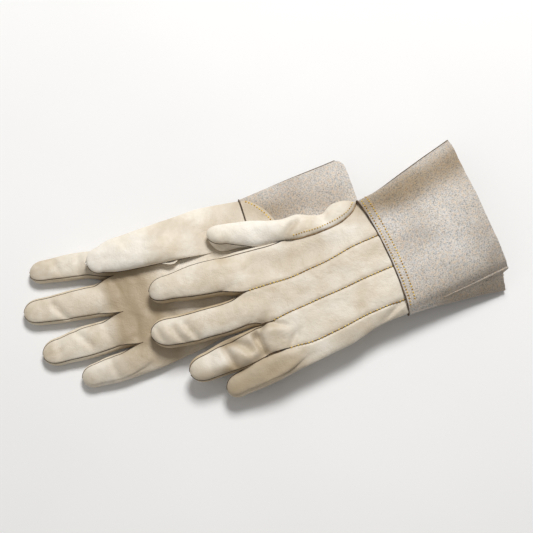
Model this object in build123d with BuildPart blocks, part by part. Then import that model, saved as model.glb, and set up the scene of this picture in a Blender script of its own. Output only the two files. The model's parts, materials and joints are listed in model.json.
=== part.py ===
"""A pair of beekeeping gloves: cream leather hands with flared suede gauntlets.

The right glove lies palm up on the ground with its thumb folded over the palm. The left glove lies on it,
back of the hand up. Both are hollow, sewn from separate panels, and open at the gauntlet's mouth.

A glove's own plan coordinates are u, from the wrist seam towards the fingertips, and v, towards the thumb.
In the model the fingers point along -X, the gauntlets along +X and the thumbs along +Y. Sizes in millimetres.
"""
from build123d import *
from collections import namedtuple
from math import atan2, cos, hypot, radians, sin
import os

os.makedirs("parts", exist_ok=True)

# ---------------------------------------------------------------- driving dimensions
LEATHER = 1.2              # thickness of the hand leather
SUEDE = 1.4                # thickness of the gauntlet suede
SEAM_ROUND = 3.0           # radius of the rolled edges along the hand and the fingers
SEAM_DROP = 3.6            # height of the rolled edge that belongs to the back or palm panel
TIP_CAP = 9.0              # length of the fingertip that the palm leather closes
KNUCKLE_GAP = 0.4          # from a knuckle hinge to the start of its finger
WRIST_WIDTH = 115.6        # across the hand at the wrist seam
WRIST_GAP = 1.7            # from the hand's end to the gauntlet's start, filled by the welt
WELT = 1.1                 # width of the welt strip
WELT_DEPTH = 2.2           # how far the welt reaches inward
THREAD = 0.7               # width of a stitch row
THREAD_RISE = 0.35         # how far the thread stands proud
THREAD_LIFT = 0.02         # air between the thread and the leather under it
STITCH_ROWS = (2.6, 8.0)   # distances of the two gauntlet stitch rows from the seam
PATCH_DEPTH = 34.0         # depth of the half-moon vein patch at the middle of the wrist
PATCH_WIDTH = 108.0        # width of the patch along the wrist seam
PATCH_THICK = 0.8
PATCH_LIFT = 0.05          # air between the patch and the gauntlet under it
PATCH_STITCH_INSET = 3.0   # from the patch's curved edge to its stitch row
PATCH_STEPS = (15.0, 30.0, 45.0)    # distances from the seam at which the patch's section is drawn
HOOD = 6.0                 # length of the raised leather at the root of the folded right thumb
REACH = 400.0              # longer than anything here, for cutting blocks
CLEAR = 1.0                # overrun of a cutting block past the face that it opens
LEVEL = 0.01               # slope under which an edge counts as level

# A finger: its stall starts at root, where the knuckle hinge lies, and ends at tip, both in glove plan
# coordinates. bow is how far the middle leans towards the thumb; walls lists the sides (+1 thumb side,
# -1 little-finger side) that are a separate fourchette.
Finger = namedtuple("Finger", "name root tip root_width mid_width tip_width bow walls")

# A gauntlet station: plan place u, centre v, width, and the heights of its lowest and highest points.
Station = namedtuple("Station", "u v width low high")

# A glove: the middle of its wrist seam, the turn of its long axis, its resting height and thickness, its
# fingers and thumb, points along the edges of its hand, the places of the seams between the back strips at
# the wrist, and its gauntlet stations.
Glove = namedtuple(
    "Glove",
    "side back_up wrist turn low thick fingers thumb thumb_low thumb_thick thumb_edge index_edge "
    "little_edge seams gauntlet",
)

LEFT = Glove(
    side="left",
    back_up=True,
    wrist=(106.71, -13.15),
    turn=5.5,
    low=14.6,
    thick=16.0,
    fingers=(
        Finger("index", (127.5, 35.5), (207.0, 48.0), 37.0, 34.0, 25.0, 3.0, (-1,)),
        Finger("middle", (126.5, -1.5), (218.2, 11.2), 28.0, 30.0, 28.0, -1.5, (1, -1)),
        Finger("ring", (118.0, -33.0), (199.0, -33.5), 25.0, 28.0, 24.0, -0.5, (1, -1)),
        Finger("little", (112.5, -58.5), (174.2, -60.0), 19.5, 20.5, 19.0, -0.5, (1,)),
    ),
    thumb=Finger("thumb", (61.0, 56.5), (140.0, 78.0), 24.0, 26.0, 19.0, 0.0, ()),
    thumb_low=15.2,
    thumb_thick=14.0,
    thumb_edge=((34.0, 59.5), (52.0, 65.5)),
    index_edge=((95.0, 48.5),),
    little_edge=((60.0, -65.5), (25.0, -58.5)),
    seams=(18.6, -13.6, -46.0),
    gauntlet=(
        Station(-WRIST_GAP, 0.0, 114.0, 14.6, 30.6),
        Station(-50.0, 5.0, 126.0, 8.5, 37.0),
        Station(-104.0, 8.0, 146.0, 1.0, 43.5),
    ),
)

RIGHT = Glove(
    side="right",
    back_up=False,
    wrist=(-0.69, 25.35),
    turn=-0.5,
    low=0.0,
    thick=14.0,
    fingers=(
        Finger("index", (152.5, 37.0), (202.5, 43.5), 23.5, 25.0, 22.0, 0.5, (-1,)),
        Finger("middle", (134.5, 0.5), (215.8, 7.3), 31.5, 30.0, 25.0, 1.0, (1, -1)),
        Finger("ring", (134.5, -34.0), (208.1, -35.9), 29.5, 31.0, 26.0, 0.5, (1, -1)),
        Finger("little", (124.5, -64.5), (179.5, -66.8), 24.0, 25.0, 21.0, -0.5, (1,)),
    ),
    thumb=Finger("thumb", (50.0, 35.0), (149.0, 33.5), 40.0, 37.5, 25.0, 0.0, ()),
    thumb_low=14.5,
    thumb_thick=13.0,
    thumb_edge=((52.0, 58.5), (85.0, 54.5)),
    index_edge=((128.0, 50.5),),
    little_edge=((71.0, -69.8), (25.0, -59.5)),
    seams=(18.6, -13.6, -46.0),
    gauntlet=(
        Station(-WRIST_GAP, 0.0, 113.0, 0.0, 12.6),
        Station(-50.0, 2.5, 129.0, 0.0, 12.6),
        Station(-104.0, 3.75, 139.5, 0.0, 12.6),
    ),
)


# ---------------------------------------------------------------- frames
def glove_plane(glove, height):
    """Horizontal plane of a glove: x along u, y along v, normal down, so extruding goes downwards."""
    turn = radians(glove.turn)
    return Plane(origin=(*glove.wrist, height), x_dir=(-cos(turn), -sin(turn), 0), z_dir=(0, 0, -1))


def finger_plane(glove, finger, height):
    """Horizontal plane of a finger: origin at its root, x towards its tip, normal down."""
    base = glove_plane(glove, height)
    along = (finger.tip[0] - finger.root[0], finger.tip[1] - finger.root[1])
    heading = base.x_dir * along[0] + base.y_dir * along[1]
    return Plane(origin=base.from_local_coords(Vector(*finger.root)), x_dir=heading, z_dir=(0, 0, -1))


def cross_plane(glove, station):
    """Upright plane across a glove at a gauntlet station: x along v, y up, normal towards the mouth."""
    base = glove_plane(glove, (station.low + station.high) / 2)
    centre = base.from_local_coords(Vector(station.u, station.v))
    return Plane(origin=centre, x_dir=base.y_dir, z_dir=base.y_dir.cross(Vector(0, 0, 1)))


def hand_top(glove):
    """Height of the upper face of a glove's hand."""
    return glove.low + glove.thick


def finger_length(finger):
    """Distance from a finger's root to its tip."""
    return hypot(finger.tip[0] - finger.root[0], finger.tip[1] - finger.root[1])


def root_corner(finger, side):
    """Corner of a finger's root line in plan; side is +1 towards the thumb and -1 away from it."""
    heading = atan2(finger.tip[1] - finger.root[1], finger.tip[0] - finger.root[0])
    half = side * finger.root_width / 2
    return (finger.root[0] - half * sin(heading), finger.root[1] + half * cos(heading))


# ---------------------------------------------------------------- outlines
def finger_outline(finger, inset):
    """Plan of a finger with a round tip, drawn smaller by inset; it starts just past the knuckle."""
    length = finger_length(finger)
    radius = finger.tip_width / 2 - inset
    shoulder = length - finger.tip_width / 2
    middle = length / 2
    half_mid = finger.mid_width / 2 - inset
    half_root = finger.root_width / 2 - inset
    start = KNUCKLE_GAP - (CLEAR if inset else 0)
    with BuildSketch(mode=Mode.PRIVATE) as outline:
        with BuildLine():
            Spline((start, half_root), (middle, finger.bow + half_mid), (shoulder, radius))
            ThreePointArc((shoulder, radius), (shoulder + radius, 0), (shoulder, -radius))
            Spline((shoulder, -radius), (middle, finger.bow - half_mid), (start, -half_root))
            Line((start, -half_root), (start, half_root))
        make_face()
    return outline.sketch


def hand_corners(glove):
    """Corners of the hand in plan, from the thumb side of the wrist round the knuckles and back."""
    corners = [(0.0, WRIST_WIDTH / 2), *glove.thumb_edge]
    if glove.back_up:
        corners += [root_corner(glove.thumb, 1), root_corner(glove.thumb, -1)]
    corners += glove.index_edge
    for finger in glove.fingers:
        corners += [root_corner(finger, 1), root_corner(finger, -1)]
    corners += [*glove.little_edge, (0.0, -WRIST_WIDTH / 2)]
    return corners


def strip_corners(glove, number):
    """Plan of one back strip, from its place at the wrist to past its knuckle."""
    edges = [WRIST_WIDTH, *glove.seams, -WRIST_WIDTH]
    high, low = edges[number], edges[number + 1]
    corners = [(-CLEAR, high), (-CLEAR, low)]
    if number < len(glove.fingers) - 1:
        crotch = crotch_point(glove, number)
        corners += [(crotch[0] * 0.5, low + (crotch[1] - low) * 0.5), crotch, (REACH, crotch[1])]
    else:
        corners += [(REACH, low)]
    if number > 0:
        crotch = crotch_point(glove, number - 1)
        corners += [(REACH, crotch[1]), crotch, (crotch[0] * 0.5, high + (crotch[1] - high) * 0.5)]
    else:
        corners += [(REACH, high)]
    return corners


def crotch_point(glove, number):
    """Middle of the web between two neighbouring fingers, where a back seam ends."""
    near = root_corner(glove.fingers[number], -1)
    far = root_corner(glove.fingers[number + 1], 1)
    return ((near[0] + far[0]) / 2, (near[1] + far[1]) / 2)


def block(plane, x_range, y_range, drop, mode):
    """Cut with, or keep, a straight block: x and y ranges in the plane, and its depth below it."""
    with BuildSketch(plane, mode=Mode.PRIVATE) as area:
        with Locations((sum(x_range) / 2, sum(y_range) / 2)):
            Rectangle(x_range[1] - x_range[0], y_range[1] - y_range[0])
    extrude(area.sketch, amount=drop, mode=mode)


# ---------------------------------------------------------------- fingers and thumbs
def rolled_edges(solid, frame):
    """The long upper and lower edges of a finger, without those on its root line."""
    def is_rolled(edge):
        middle = frame.to_local_coords(edge @ 0.5)
        level = abs((edge % 0.5).Z) < LEVEL
        return level and middle.X > KNUCKLE_GAP + CLEAR / 2
    return solid.edges().filter_by(is_rolled)


def stall_shell(glove, finger, low, thick):
    """Hollow stall of a finger, closed at the tip and open at the knuckle."""
    frame = finger_plane(glove, finger, low + thick)
    with BuildPart() as shell:
        with BuildSketch(frame):
            add(finger_outline(finger, 0))
        extrude(amount=thick)
        fillet(rolled_edges(shell, frame), SEAM_ROUND)
        with BuildSketch(frame.offset(LEATHER)):
            add(finger_outline(finger, LEATHER))
        extrude(amount=thick - 2 * LEATHER, mode=Mode.SUBTRACT)
    return shell.part


def side_range(side):
    """Range of y on one side of a finger's axis."""
    return (0, REACH) if side > 0 else (-REACH, 0)


def save(part, name):
    """Label a finished piece and write it; the file name is the piece's name."""
    part.label = name
    export_step(part, f"parts/{name}.step")
    PIECES[name] = part


def make_finger(glove, finger):
    """One finger: the end of the palm piece, the end of its back strip, and its fourchettes."""
    low, thick = glove.low, glove.thick
    top = low + thick
    shell = stall_shell(glove, finger, low, thick)
    frame = finger_plane(glove, finger, top)
    cap_start = finger_length(finger) - TIP_CAP
    wall_range = (-CLEAR, cap_start)
    everywhere = (-REACH, REACH)
    back_drop = (0, SEAM_DROP) if glove.back_up else (thick - SEAM_DROP, SEAM_DROP)
    wall_height = thick - 2 * SEAM_DROP

    with BuildPart() as back:
        add(shell)
        block(frame.offset(back_drop[0]), everywhere, everywhere, back_drop[1], Mode.INTERSECT)
    save(back.part, f"{glove.side}_{finger.name}_back")

    with BuildPart() as palm:
        add(shell)
        block(frame.offset(back_drop[0]), everywhere, everywhere, back_drop[1], Mode.SUBTRACT)
        for side in finger.walls:
            block(frame.offset(SEAM_DROP), wall_range, side_range(side), wall_height, Mode.SUBTRACT)
    save(palm.part, f"{glove.side}_{finger.name}_palm")

    for side in finger.walls:
        with BuildPart() as wall:
            add(shell)
            block(frame.offset(SEAM_DROP), wall_range, side_range(side), wall_height, Mode.INTERSECT)
        edge = "upper" if side > 0 else "lower"
        save(wall.part, f"{glove.side}_{finger.name}_fourchette_{edge}")


def make_thumb(glove):
    """The thumb: an outer and an inner panel that meet half way up."""
    low, thick = glove.thumb_low, glove.thumb_thick
    shell = stall_shell(glove, glove.thumb, low, thick)
    everywhere = (-REACH, REACH)
    for name, start in (("thumb_outer", 0), ("thumb_inner", thick / 2)):
        with BuildPart() as panel:
            add(shell)
            frame = finger_plane(glove, glove.thumb, low + thick - start)
            block(frame, everywhere, everywhere, thick / 2, Mode.INTERSECT)
        save(panel.part, f"{glove.side}_{name}")


# ---------------------------------------------------------------- hands
def doorway(glove, finger):
    """Open the hand into a finger's stall."""
    half = finger.root_width / 2 - LEATHER
    frame = finger_plane(glove, finger, hand_top(glove) - LEATHER)
    block(frame, (-3 * LEATHER, CLEAR), (-half, half), glove.thick - 2 * LEATHER, Mode.SUBTRACT)


def hand_shell(glove):
    """Hollow hand, open at the wrist and into each stall."""
    top = hand_top(glove)
    with BuildPart() as shell:
        with BuildSketch(glove_plane(glove, top)):
            with BuildLine():
                Polyline(hand_corners(glove), close=True)
            make_face()
        extrude(amount=glove.thick)
        with BuildSketch(glove_plane(glove, top - LEATHER)):
            with BuildLine():
                Polyline(hand_corners(glove), close=True)
            make_face()
            offset(amount=-LEATHER, kind=Kind.INTERSECTION, mode=Mode.REPLACE)
        extrude(amount=glove.thick - 2 * LEATHER, mode=Mode.SUBTRACT)
        half = WRIST_WIDTH / 2 - LEATHER
        frame = glove_plane(glove, top - LEATHER)
        block(frame, (-CLEAR, 3 * LEATHER), (-half, half), glove.thick - 2 * LEATHER, Mode.SUBTRACT)
        for finger in glove.fingers:
            doorway(glove, finger)
        if glove.back_up:
            doorway(glove, glove.thumb)
    return shell.part


def add_thumb_hood(glove):
    """Raised leather that leads from the palm into the root of a thumb folded over it."""
    thumb = glove.thumb
    top = glove.thumb_low + glove.thumb_thick
    half = thumb.root_width / 2
    rise = top - hand_top(glove) + LEATHER
    block(finger_plane(glove, thumb, top), (-HOOD, 0), (-half, half), rise, Mode.ADD)
    inside = half - LEATHER
    frame = finger_plane(glove, thumb, top - LEATHER)
    block(frame, (LEATHER - HOOD, CLEAR), (-inside, inside), rise, Mode.SUBTRACT)


def make_hand(glove):
    """The hand: the palm piece with its wrapped sides, and the four back strips."""
    shell = hand_shell(glove)
    everywhere = (-REACH, REACH)
    top = hand_top(glove) if glove.back_up else glove.low + SEAM_DROP
    frame = glove_plane(glove, top)

    with BuildPart() as palm:
        add(shell)
        block(frame, everywhere, everywhere, SEAM_DROP, Mode.SUBTRACT)
        if not glove.back_up:
            add_thumb_hood(glove)
    save(palm.part, f"{glove.side}_palm")

    for number, finger in enumerate(glove.fingers):
        with BuildPart() as strip:
            add(shell)
            with BuildSketch(frame):
                with BuildLine():
                    Polyline(strip_corners(glove, number), close=True)
                make_face()
            extrude(amount=SEAM_DROP, mode=Mode.INTERSECT)
        save(strip.part, f"{glove.side}_{finger.name}_back_strip")


# ---------------------------------------------------------------- gauntlets
def section(glove, station, grow):
    """Flat oval section of the gauntlet at a station, larger than its outside by grow."""
    with BuildSketch(cross_plane(glove, station), mode=Mode.PRIVATE) as oval:
        Ellipse(station.width / 2 + grow, (station.high - station.low) / 2 + grow)
    return oval.sketch


def station_at(glove, u):
    """The gauntlet station at any u, between the given ones."""
    for near, far in zip(glove.gauntlet, glove.gauntlet[1:]):
        if u >= far.u:
            share = (near.u - u) / (near.u - far.u)
            values = [a + share * (b - a) for a, b in zip(near, far)]
            return Station(*values)
    return glove.gauntlet[-1]


def gauntlet_shell(glove, outside, inside, stations):
    """Open tube between two offsets of the gauntlet's outer surface."""
    with BuildPart() as shell:
        loft([section(glove, station, outside) for station in stations], ruled=True)
        loft([section(glove, station, inside) for station in stations], ruled=True, mode=Mode.SUBTRACT)
    return shell.part


def half_height(glove):
    """Height of the gauntlet's two edge seams."""
    first = glove.gauntlet[0]
    return (first.low + first.high) / 2


def make_gauntlet(glove):
    """The gauntlet's back and palm panels of suede, joined along both edges."""
    shell = gauntlet_shell(glove, 0, -SUEDE, glove.gauntlet)
    upper, lower = ("back", "palm") if glove.back_up else ("palm", "back")
    for name, keep in ((upper, Keep.TOP), (lower, Keep.BOTTOM)):
        with BuildPart() as panel:
            add(shell)
            split(bisect_by=Plane.XY.offset(half_height(glove)), keep=keep)
        save(panel.part, f"{glove.side}_gauntlet_{name}")


def make_welt(glove):
    """Rolled leather strip in the wrist seam, on the back of the hand."""
    middle = half_height(glove)
    frame = glove_plane(glove, hand_top(glove))
    start = (WRIST_GAP + WELT) / 2
    half = WRIST_WIDTH / 2
    with BuildPart() as welt:
        block(frame, (-start, WELT - start), (-half, half), glove.thick, Mode.ADD)
        inner = glove_plane(glove, hand_top(glove) - WELT_DEPTH)
        inner_half = half - WELT_DEPTH
        depth = glove.thick - 2 * WELT_DEPTH
        block(inner, (-REACH, REACH), (-inner_half, inner_half), depth, Mode.SUBTRACT)
        split(bisect_by=Plane.XY.offset(middle), keep=Keep.TOP if glove.back_up else Keep.BOTTOM)
    save(welt.part, f"{glove.side}_welt")


def make_gauntlet_stitching(glove):
    """Two rows of thread across the gauntlet's back, beside the wrist seam."""
    with BuildPart() as rows:
        for row in STITCH_ROWS:
            start = station_at(glove, -WRIST_GAP - row)
            end = station_at(glove, -WRIST_GAP - row - THREAD)
            add(gauntlet_shell(glove, THREAD_RISE, THREAD_LIFT, (start, end)))
        split(bisect_by=Plane.XY.offset(half_height(glove) + THREAD), keep=Keep.TOP)
    save(rows.part, f"{glove.side}_gauntlet_stitching")


def half_moon(glove, inset):
    """Plan of the vein patch: straight along the wrist, curved towards the gauntlet's mouth."""
    half = PATCH_WIDTH / 2 - inset
    depth = PATCH_DEPTH - inset
    start = -WRIST_GAP
    with BuildSketch(glove_plane(glove, REACH / 2), mode=Mode.PRIVATE) as moon:
        with BuildLine():
            ThreePointArc((start, half), (start - depth, 0), (start, -half))
            Line((start, -half), (start, half))
        make_face()
    return moon.sketch


def make_vein_patch(glove):
    """Half-moon of hand leather over the palm side of the gauntlet, and the thread along its curve."""
    stations = (glove.gauntlet[0], *[station_at(glove, -WRIST_GAP - step) for step in PATCH_STEPS])
    upper = not glove.back_up
    limit = Plane.XY.offset(half_height(glove))
    keep = Keep.TOP if upper else Keep.BOTTOM
    inner = PATCH_LIFT
    outer = PATCH_LIFT + PATCH_THICK

    with BuildPart() as patch:
        add(gauntlet_shell(glove, outer, inner, stations))
        split(bisect_by=limit, keep=keep)
        extrude(half_moon(glove, 0), amount=REACH, mode=Mode.INTERSECT)
    save(patch.part, f"{glove.side}_vein_patch")

    if upper:
        with BuildPart() as thread:
            add(gauntlet_shell(glove, outer + THREAD_RISE, outer + THREAD_LIFT, stations))
            split(bisect_by=limit, keep=keep)
            extrude(half_moon(glove, PATCH_STITCH_INSET), amount=REACH, mode=Mode.INTERSECT)
            extrude(half_moon(glove, PATCH_STITCH_INSET + THREAD), amount=REACH, mode=Mode.SUBTRACT)
        save(thread.part, f"{glove.side}_patch_stitching")


# ---------------------------------------------------------------- both gloves
PIECES = {}

for pair_glove in (LEFT, RIGHT):
    make_hand(pair_glove)
    for pair_finger in pair_glove.fingers:
        make_finger(pair_glove, pair_finger)
    make_thumb(pair_glove)
    make_gauntlet(pair_glove)
    make_welt(pair_glove)
    make_vein_patch(pair_glove)
make_gauntlet_stitching(LEFT)

box = Compound(children=list(PIECES.values())).bounding_box()
print("pieces", len(PIECES), "box", box.min, box.max)
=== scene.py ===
"""Looks of a pair of beekeeping gloves: cream leather hands and flared suede gauntlets.

Each glove is worked out in its own plan frame, in millimetres: u from the wrist seam towards the fingertips,
v towards the thumb, z up. Every panel is a grid on the glove's skin, cut from one welded skin and given the
thickness of the leather, so neighbouring panels meet exactly at their seams.
"""
import json
import math
import bmesh
import bpy
import numpy as np
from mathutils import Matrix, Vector


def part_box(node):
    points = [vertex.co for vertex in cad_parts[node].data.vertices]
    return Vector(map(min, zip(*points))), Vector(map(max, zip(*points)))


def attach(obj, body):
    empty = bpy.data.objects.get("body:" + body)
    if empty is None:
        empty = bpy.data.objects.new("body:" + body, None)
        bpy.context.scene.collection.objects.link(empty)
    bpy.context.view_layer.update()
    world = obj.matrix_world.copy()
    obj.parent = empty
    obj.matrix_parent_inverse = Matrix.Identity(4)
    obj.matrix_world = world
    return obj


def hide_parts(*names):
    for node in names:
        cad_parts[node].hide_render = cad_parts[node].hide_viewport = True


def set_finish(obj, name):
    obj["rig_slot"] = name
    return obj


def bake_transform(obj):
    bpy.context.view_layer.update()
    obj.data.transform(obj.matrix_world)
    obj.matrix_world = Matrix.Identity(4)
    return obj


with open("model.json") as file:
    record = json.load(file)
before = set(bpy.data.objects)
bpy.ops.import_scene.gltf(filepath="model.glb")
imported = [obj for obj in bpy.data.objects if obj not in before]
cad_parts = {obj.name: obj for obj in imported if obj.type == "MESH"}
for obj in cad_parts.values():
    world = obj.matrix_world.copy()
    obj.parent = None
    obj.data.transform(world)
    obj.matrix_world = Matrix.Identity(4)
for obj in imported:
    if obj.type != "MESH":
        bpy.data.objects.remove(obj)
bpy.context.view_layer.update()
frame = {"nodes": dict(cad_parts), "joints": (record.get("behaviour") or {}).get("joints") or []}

MM = 0.001
LEATHER = 1.15          # thickness of the hand leather
SUEDE = 1.5             # thickness of the gauntlet suede
STEP = 2.0              # distance between rows of a panel's grid
BACK_ANGLE = 60.0       # half of the arc of a finger that its back or palm panel covers, degrees
ACROSS = 20             # columns across a finger's back or palm panel
SIDE_COLUMNS = 7        # columns down a fourchette
WALL_COLUMNS = 10       # columns down an outer wall
TIP_ROWS = 13           # rows round a fingertip or thumb tip
WELD = 0.02             # points of a skin nearer than about this are one point
RIM = 0.94              # share of the hand's half width where its top turns into the side
SECTION = 0.84          # power of a finger's superellipse section; 1 is round, less is squarer
TIP_ROUND = 0.62        # length of a fingertip's rounding, as a share of the tip's width
SEAM_PINCH = 0.05       # share by which a finger's seam lies inside its round section
PINCH_SPREAD = math.radians(7.0)    # how far round the finger that pinch is felt
GROOVE = 0.9            # depth of a sewn seam on the back of the hand
GROOVE_WIDTH = 1.5
UNDER_GROOVE = 0.5      # share of that depth where the glove lies on its back
HAND_SECTION = 4.0      # power of the hand's superellipse section
LEAD = 16.0             # how far before its crotch the middle of a strip turns into a finger
TURN = 24.0             # length over which it turns
ARC_HALF = 59.0         # half of the width over which the wrist seam's arc runs
BACK_CORD = 0.46        # radii of the dark seam cords: on the back of the hand,
FINGER_CORD = 0.48      # along a finger's back,
PALM_CORD = 0.36        # and along its palm
OUTER_RUN = 46.0        # how far before its crotch an outer finger seam starts
STITCH_SINK = 0.25      # half the depth to which a stitch's ends dip into the leather
FINGERS = ("index", "middle", "ring", "little")
UP, DOWN = (0, 0, 1), (0, 0, -1)
WAYS = ((1, "upper"), (-1, "lower"))    # the two sides of a finger, towards the thumb and away from it


# ---------------------------------------------------------------- small maths
def smooth(x):
    """Smooth step from 0 to 1."""
    x = np.clip(x, 0.0, 1.0)
    return x * x * (3 - 2 * x)


def curve(points):
    """Smooth function through (x, value) points; values may be vectors."""
    xs = np.array([p[0] for p in points], float)
    ys = np.array([p[1:] for p in points], float)
    slopes = np.gradient(ys, xs, axis=0)

    def value(x):
        x = np.clip(np.asarray(x, float), xs[0], xs[-1])
        i = np.clip(np.searchsorted(xs, x) - 1, 0, len(xs) - 2)
        h = (xs[i + 1] - xs[i])[..., None]
        t = (x[..., None] - xs[i][..., None]) / h
        y0, y1, m0, m1 = ys[i], ys[i + 1], slopes[i] * h, slopes[i + 1] * h
        out = (2 * t**3 - 3 * t**2 + 1) * y0 + (t**3 - 2 * t**2 + t) * m0
        out += (3 * t**2 - 2 * t**3) * y1 + (t**3 - t**2) * m1
        return out[..., 0] if out.shape[-1] == 1 else out

    return value


def power(x, p):
    """Signed power, for superellipse sections."""
    return np.sign(x) * np.abs(x) ** p


def spread(count):
    """Numbers from 1 to -1, closer together towards both ends."""
    bend = 1.35
    return np.sin(np.linspace(bend, -bend, count + 1)) / math.sin(bend)


def waves(u, v, scale, seed):
    """Smooth fixed undulation between about -1 and 1, with features of the given size."""
    total = np.zeros(np.broadcast_shapes(np.shape(u), np.shape(v)))
    for k in range(6):
        turn = seed * 1.7 + k * 2.4
        rate = (0.7 + 0.22 * k) * 2 * math.pi / scale
        total = total + np.sin(rate * (u * math.cos(turn) + v * math.sin(turn)) + seed * 3.1 + k * 1.9)
    return total / 3.0


# ---------------------------------------------------------------- gloves
class Glove:
    """Plan frame of one glove and the curves that its skin follows."""

    def __init__(self, side, turn, low, thick, **shape):
        self.side = side
        self.turn = math.radians(turn)
        lowest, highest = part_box(side + "_welt")
        self.wrist = (lowest + highest) / 2 / MM
        self.low = low
        self.thick = thick
        self.middle = low + thick / 2
        self.__dict__.update(shape)

    def world(self, u, v, z):
        """World position in metres of plan coordinates in millimetres."""
        c, s = math.cos(self.turn), math.sin(self.turn)
        x = self.wrist.x - u * c - v * s
        y = self.wrist.y - u * s + v * c
        return np.stack([x, y, np.broadcast_to(z, x.shape)], -1) * MM

    def breadth(self, u):
        """Middle and half width in plan of the hand at u."""
        high, low = self.high_side(u), self.low_side(u)
        return (high + low) / 2, (high - low) / 2

    def place(self, points):
        """World positions of an array of plan points (u, v, z)."""
        return self.world(points[..., 0], points[..., 1], points[..., 2])

    def spot(self, u, v, z):
        """World position of one plan point, as a tuple."""
        return tuple(self.world(np.float64(u), np.float64(v), np.float64(z)))

    def plan(self, point):
        """Plan coordinates of a world position in metres."""
        c, s = math.cos(self.turn), math.sin(self.turn)
        dx, dy = point[0] / MM - self.wrist.x, point[1] / MM - self.wrist.y
        return -(dx * c + dy * s), -dx * s + dy * c


class Finger:
    """Centre line, half widths and half heights of one finger of a glove."""

    def __init__(self, glove, name, length, widths, bow, height, droop=0.0, roll=0.0, round_side=SECTION,
                 upper_edge=BACK_ANGLE):
        joint = next(j for j in frame["joints"] if j["name"] == f"{glove.side}_{name}_bend")
        self.name = name
        self.root = glove.plan(joint["pos_m"])
        ahead = (joint["pos_m"][0] - joint["axis"][1], joint["pos_m"][1] + joint["axis"][0])
        u, v = glove.plan(ahead)
        step = (u - self.root[0], v - self.root[1])
        self.heading = math.atan2(step[1], step[0])
        self.length = length
        self.widths = widths
        self.bow = bow
        self.height = height
        self.droop = droop
        self.roll = math.radians(roll)
        self.round_side = round_side
        self.upper_edge = math.radians(upper_edge)
        self.edge = math.radians(BACK_ANGLE)
        self.low = glove.low
        self.shoulder = length - widths[2] * TIP_ROUND

    def along(self, x):
        """Centre (u, v) at a distance x from the root, which may be negative."""
        share = x / self.length
        side = self.bow * 4 * share * (1 - share) * (x > 0)
        c, s = math.cos(self.heading), math.sin(self.heading)
        return self.root[0] + x * c - side * s, self.root[1] + x * s + side * c

    def tapered(self, measures, x):
        """Half of a measure at x, given what it is at the root, at mid length and at the tip."""
        root, middle, tip = measures
        return curve([(-20, root), (0, root), (self.length * 0.5, middle),
                      (self.shoulder, tip), (self.length, tip)])(x) / 2

    def size(self, x):
        """Half width and half height at x, closing round at the tip, and the half height before closing."""
        half, tall = self.tapered(self.widths, x), self.tapered(self.height, x)
        closing = np.clip((x - self.shoulder) / (self.length - self.shoulder), 0, 1)
        return half * (1 - closing**2.3) ** 0.5, tall * (1 - closing**2.0) ** 0.5, tall

    def skin(self, x, angle):
        """Point (u, v, z) on the finger at x, at an angle in radians from its top."""
        u, v = self.along(x)
        half, tall, full = self.size(x)
        rolled = angle - self.roll * smooth(x / (self.length * 0.4))
        turned = (angle + math.pi) % (2 * math.pi) - math.pi
        upper = np.where(turned > 0, self.upper_edge, self.edge)
        off = np.minimum(np.abs(np.abs(turned) - upper), np.abs(math.pi - np.abs(turned) - self.edge))
        pinch = 1 - SEAM_PINCH * np.exp(-(off / PINCH_SPREAD) ** 2)
        y = half * pinch * power(np.sin(rolled), self.round_side)
        middle = self.low + full - self.droop * smooth(x / self.length) * (x > 0)
        z = middle + tall * pinch * power(np.cos(rolled), SECTION)
        return np.stack([u - y * math.sin(self.heading), v + y * math.cos(self.heading), z], -1)


def hand_profile(glove, u, v):
    """Heights (top, bottom) of the hand at plan place u, v."""
    centre, half = glove.breadth(u)
    x = np.clip((v - centre) / half, -1, 1)
    rise = glove.thick / 2 * (1 - np.abs(x) ** HAND_SECTION) ** 0.5
    groove = sum(np.exp(-((v - seam(u)) / GROOVE_WIDTH) ** 2) for seam in glove.seams)
    inset = GROOVE * groove
    if glove.back_up:
        return glove.middle + rise - inset, glove.middle - rise
    return glove.middle + rise, glove.middle - rise + inset * UNDER_GROOVE


def strip_edge(glove, number, u):
    """Plan v of the boundary between strips number-1 and number; the outer ones are the hand's rims."""
    if 0 < number < 4:
        return glove.seams[number - 1](u)
    centre, half = glove.breadth(u)
    return centre + (RIM if number == 0 else -RIM) * half


def is_outer(index, way):
    """Whether a side of strip index is the hand's edge; way is 1 towards the thumb, -1 away from it."""
    return (index, way) in ((0, 1), (3, -1))


def boundary_of(index, way):
    """Number of the boundary on a side of strip index."""
    return index if way > 0 else index + 1


def finger_share(glove, index, u, t):
    """How much a place on strip index is finger rather than hand; t is -1 to 1 across it."""
    thumb_side, far_side = glove.crotches[index], glove.crotches[index + 1]
    start = far_side + (thumb_side - far_side) * (t + 1) / 2 - LEAD * (1 - t * t)
    return smooth((u - start) / TURN)


def rows_of(finger):
    """Distances u of a strip's rows: even through the hand and finger, closer towards the tip."""
    hand = np.arange(0, finger.root[0] + 8, STEP)
    shoulder = finger.root[0] + finger.shoulder
    straight = np.arange(hand[-1] + STEP, shoulder, STEP)
    rest = np.linspace(0, math.pi / 2, TIP_ROWS)[:-1]
    start = straight[-1] if len(straight) else hand[-1]
    tip = start + (finger.root[0] + finger.length - start) * np.sin(rest)
    return np.concatenate([hand, straight[:-1], tip, [finger.root[0] + finger.length]])


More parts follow.
